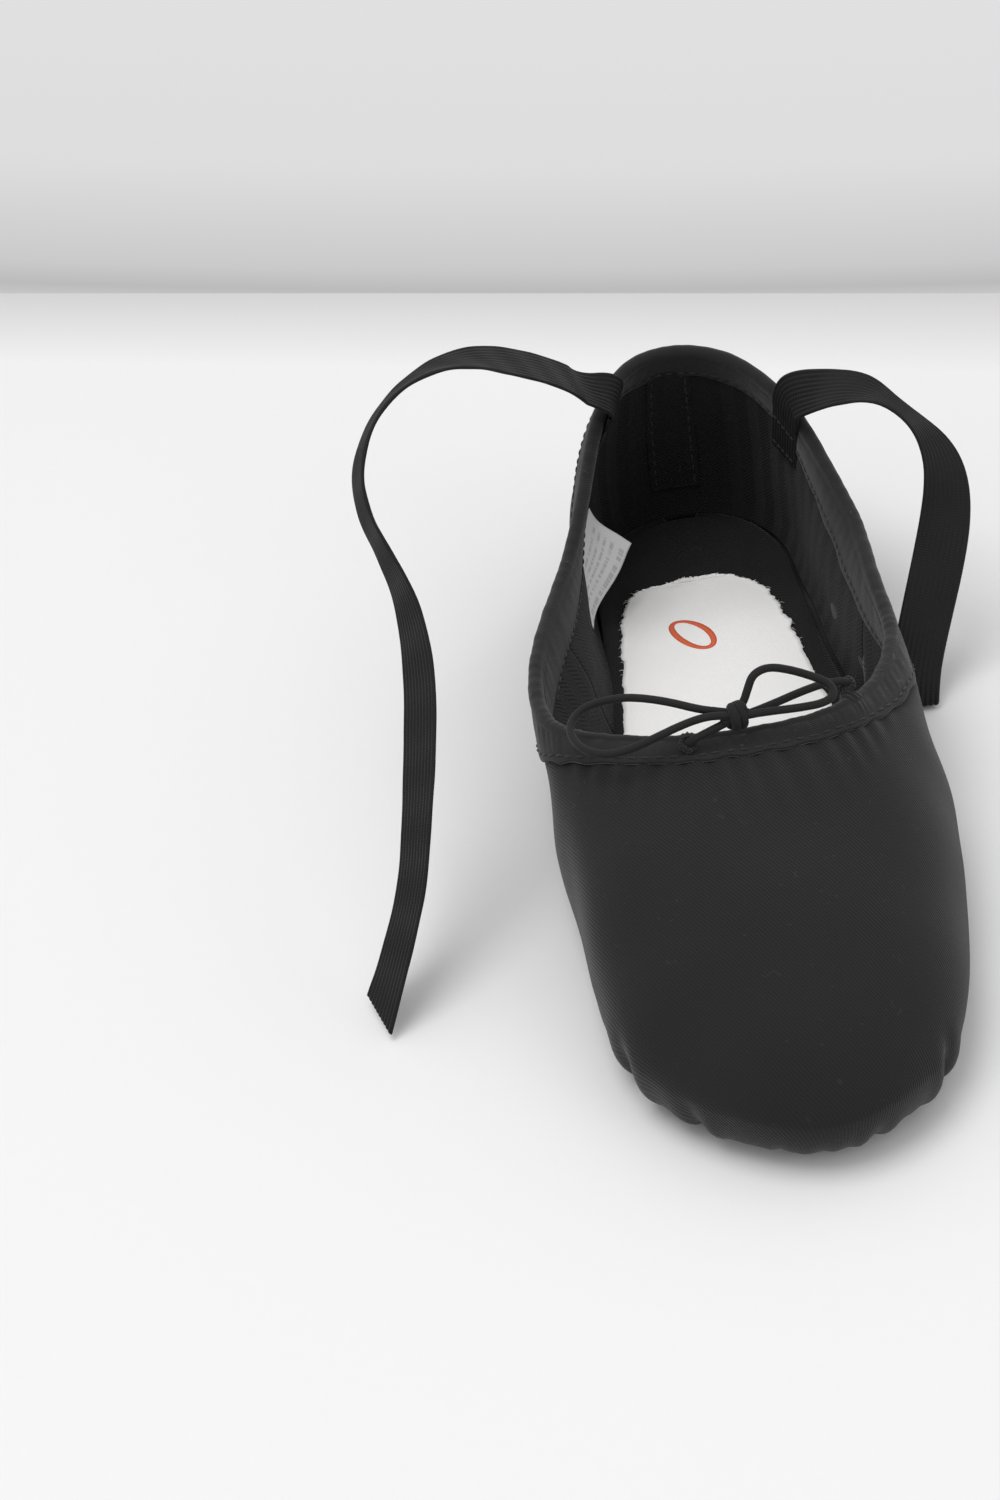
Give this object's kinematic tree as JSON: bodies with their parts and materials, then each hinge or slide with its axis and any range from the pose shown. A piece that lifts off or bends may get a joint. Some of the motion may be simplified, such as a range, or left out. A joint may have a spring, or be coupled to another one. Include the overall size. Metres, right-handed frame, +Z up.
{
  "type": "ballet slipper",
  "caption": "Soft split-sole canvas ballet slipper with bound topline, drawstring bow, white sock liner and two unsewn ribbed elastic straps.",
  "frame": {"origin": "centre of the slipper's bounding box (straps and bow left out) on the floor plane under the suede pads", "axes": "+Z up, -Y towards the toe, +Y towards the heel, +X the outer (lateral) side of this left-foot slipper, -X the inner side"},
  "size_m": [0.1492, 0.2408, 0.0953],
  "materials": {
    "canvas": "matte fine twill",
    "lining_twill": "matte ribbed twill",
    "binding_tape": "matte brushed cotton tape",
    "ribbed_elastic": "satin, lengthwise ribs",
    "elastic_cord": "matte braid",
    "suede": "napped suede",
    "insole_board": "matte fibre board",
    "foam": "soft foam",
    "white_sock": "matte woven cotton",
    "satin_label": "satin ribbon"
  },
  "bodies": {
    "forefoot": {"outsole_forefoot": "suede", "insole_board_forefoot": "insole_board", "foam_forefoot": "foam", "floor_lining_forefoot": "lining_twill", "sock_forefoot": "white_sock", "vamp_canvas": "canvas", "vamp_lining": "lining_twill", "binding_front": "binding_tape", "drawstring_front_lateral": "elastic_cord", "drawstring_front_medial": "elastic_cord"},
    "heel": {"outsole_heel": "suede", "insole_board_heel": "insole_board", "foam_heel": "foam", "floor_lining_heel": "lining_twill", "sock_heel": "white_sock", "quarter_lateral_canvas": "canvas", "quarter_medial_canvas": "canvas", "quarter_lateral_lining": "lining_twill", "quarter_medial_lining": "lining_twill", "binding_heel_lateral": "binding_tape", "binding_heel_medial": "binding_tape", "drawstring_heel": "elastic_cord", "back_seam_tape": "binding_tape", "elastic_tab_lateral": "ribbed_elastic", "elastic_tab_medial": "ribbed_elastic", "care_label": "satin_label", "arch_lateral_canvas": "canvas", "arch_medial_canvas": "canvas", "arch_lateral_lining": "lining_twill", "arch_medial_lining": "lining_twill", "binding_arch_lateral": "binding_tape", "binding_arch_medial": "binding_tape", "drawstring_arch_lateral": "elastic_cord", "drawstring_arch_medial": "elastic_cord", "floor_lining_arch": "lining_twill", "sock_arch": "white_sock", "arch_underlay": "canvas"},
    "strap_medial": {"elastic_medial": "ribbed_elastic"},
    "strap_lateral": {"elastic_lateral": "ribbed_elastic"},
    "bow": {"bow_knot": "elastic_cord", "bow_strand_lateral": "elastic_cord", "bow_strand_medial": "elastic_cord", "bow_loop_lateral": "elastic_cord", "bow_loop_medial": "elastic_cord"}
  },
  "joints": [
    {"name": "arch_flex", "type": "hinge", "parent": "forefoot", "child": "heel", "pos_m": [0, 0.0304, 0.012], "axis": [1, 0, 0], "range_deg": [-40, 50], "deforming": ["arch_lateral_canvas", "arch_medial_canvas", "arch_lateral_lining", "arch_medial_lining", "binding_arch_lateral", "binding_arch_medial", "drawstring_arch_lateral", "drawstring_arch_medial", "floor_lining_arch", "sock_arch", "arch_underlay"]},
    {"name": "strap_medial_lift", "type": "hinge", "parent": "heel", "child": "strap_medial", "pos_m": [-0.01359, 0.09729, 0.04855], "axis": [0.3681, 0.8773, 0.3081], "range_deg": [0, 24]},
    {"name": "strap_lateral_lift", "type": "hinge", "parent": "heel", "child": "strap_lateral", "pos_m": [0.02714, 0.0862, 0.04635], "axis": [0.12, -0.9928, 0], "range_deg": [0, 40]},
    {"name": "bow_flop", "type": "hinge", "parent": "forefoot", "child": "bow", "pos_m": [0.00655, -0.0265, 0.0398], "axis": [0.9258, 0.378, -0.0055], "range_deg": [0, 20]}
  ]
}
